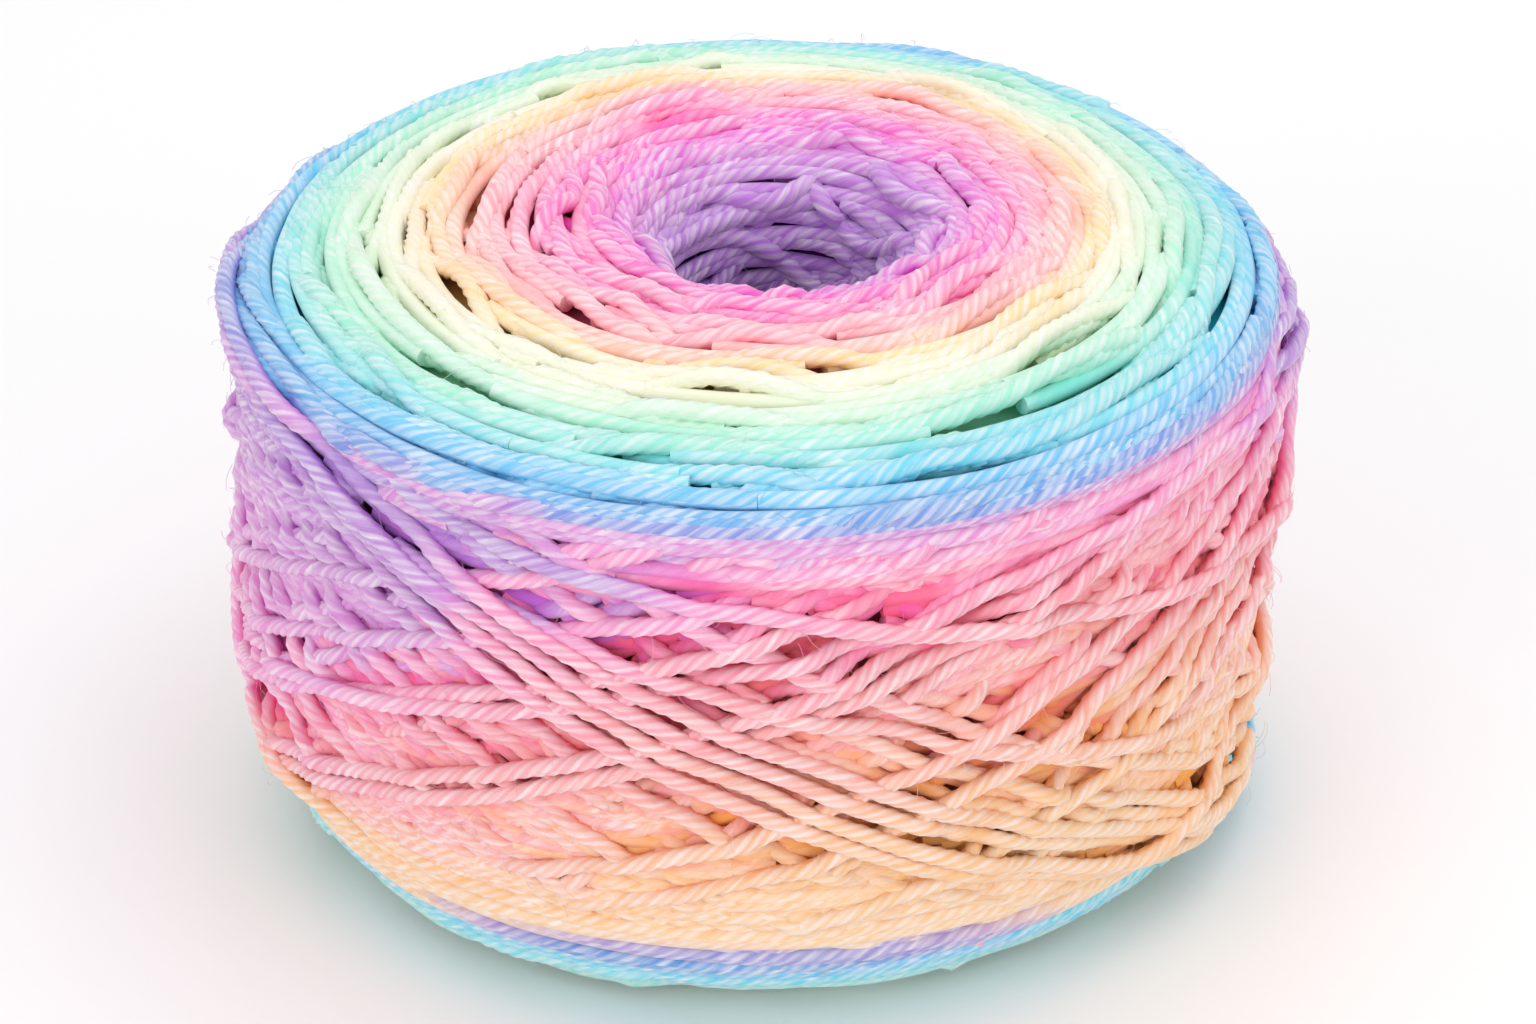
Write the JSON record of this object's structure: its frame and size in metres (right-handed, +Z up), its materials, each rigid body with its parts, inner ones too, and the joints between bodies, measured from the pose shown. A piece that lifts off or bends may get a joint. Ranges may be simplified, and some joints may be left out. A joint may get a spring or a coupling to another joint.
{
  "type": "yarn cake",
  "caption": "Squat drum of soft plied yarn wound on a ball winder, with crossing wraps on its side and a centre-pull hole through it.",
  "frame": {"origin": "on the surface that the cake rests on, below the middle of the drum", "axes": "+Z up along the hole; -Y is the side shown in front; +X is to the right of it"},
  "size_m": [0.1239, 0.1251, 0.0764],
  "materials": {
    "yarn": "soft matte plied yarn, hand-dyed in a slow run of pastel hues"
  },
  "bodies": {
    "root": {"yarn_cake": "yarn"}
  },
  "joints": []
}
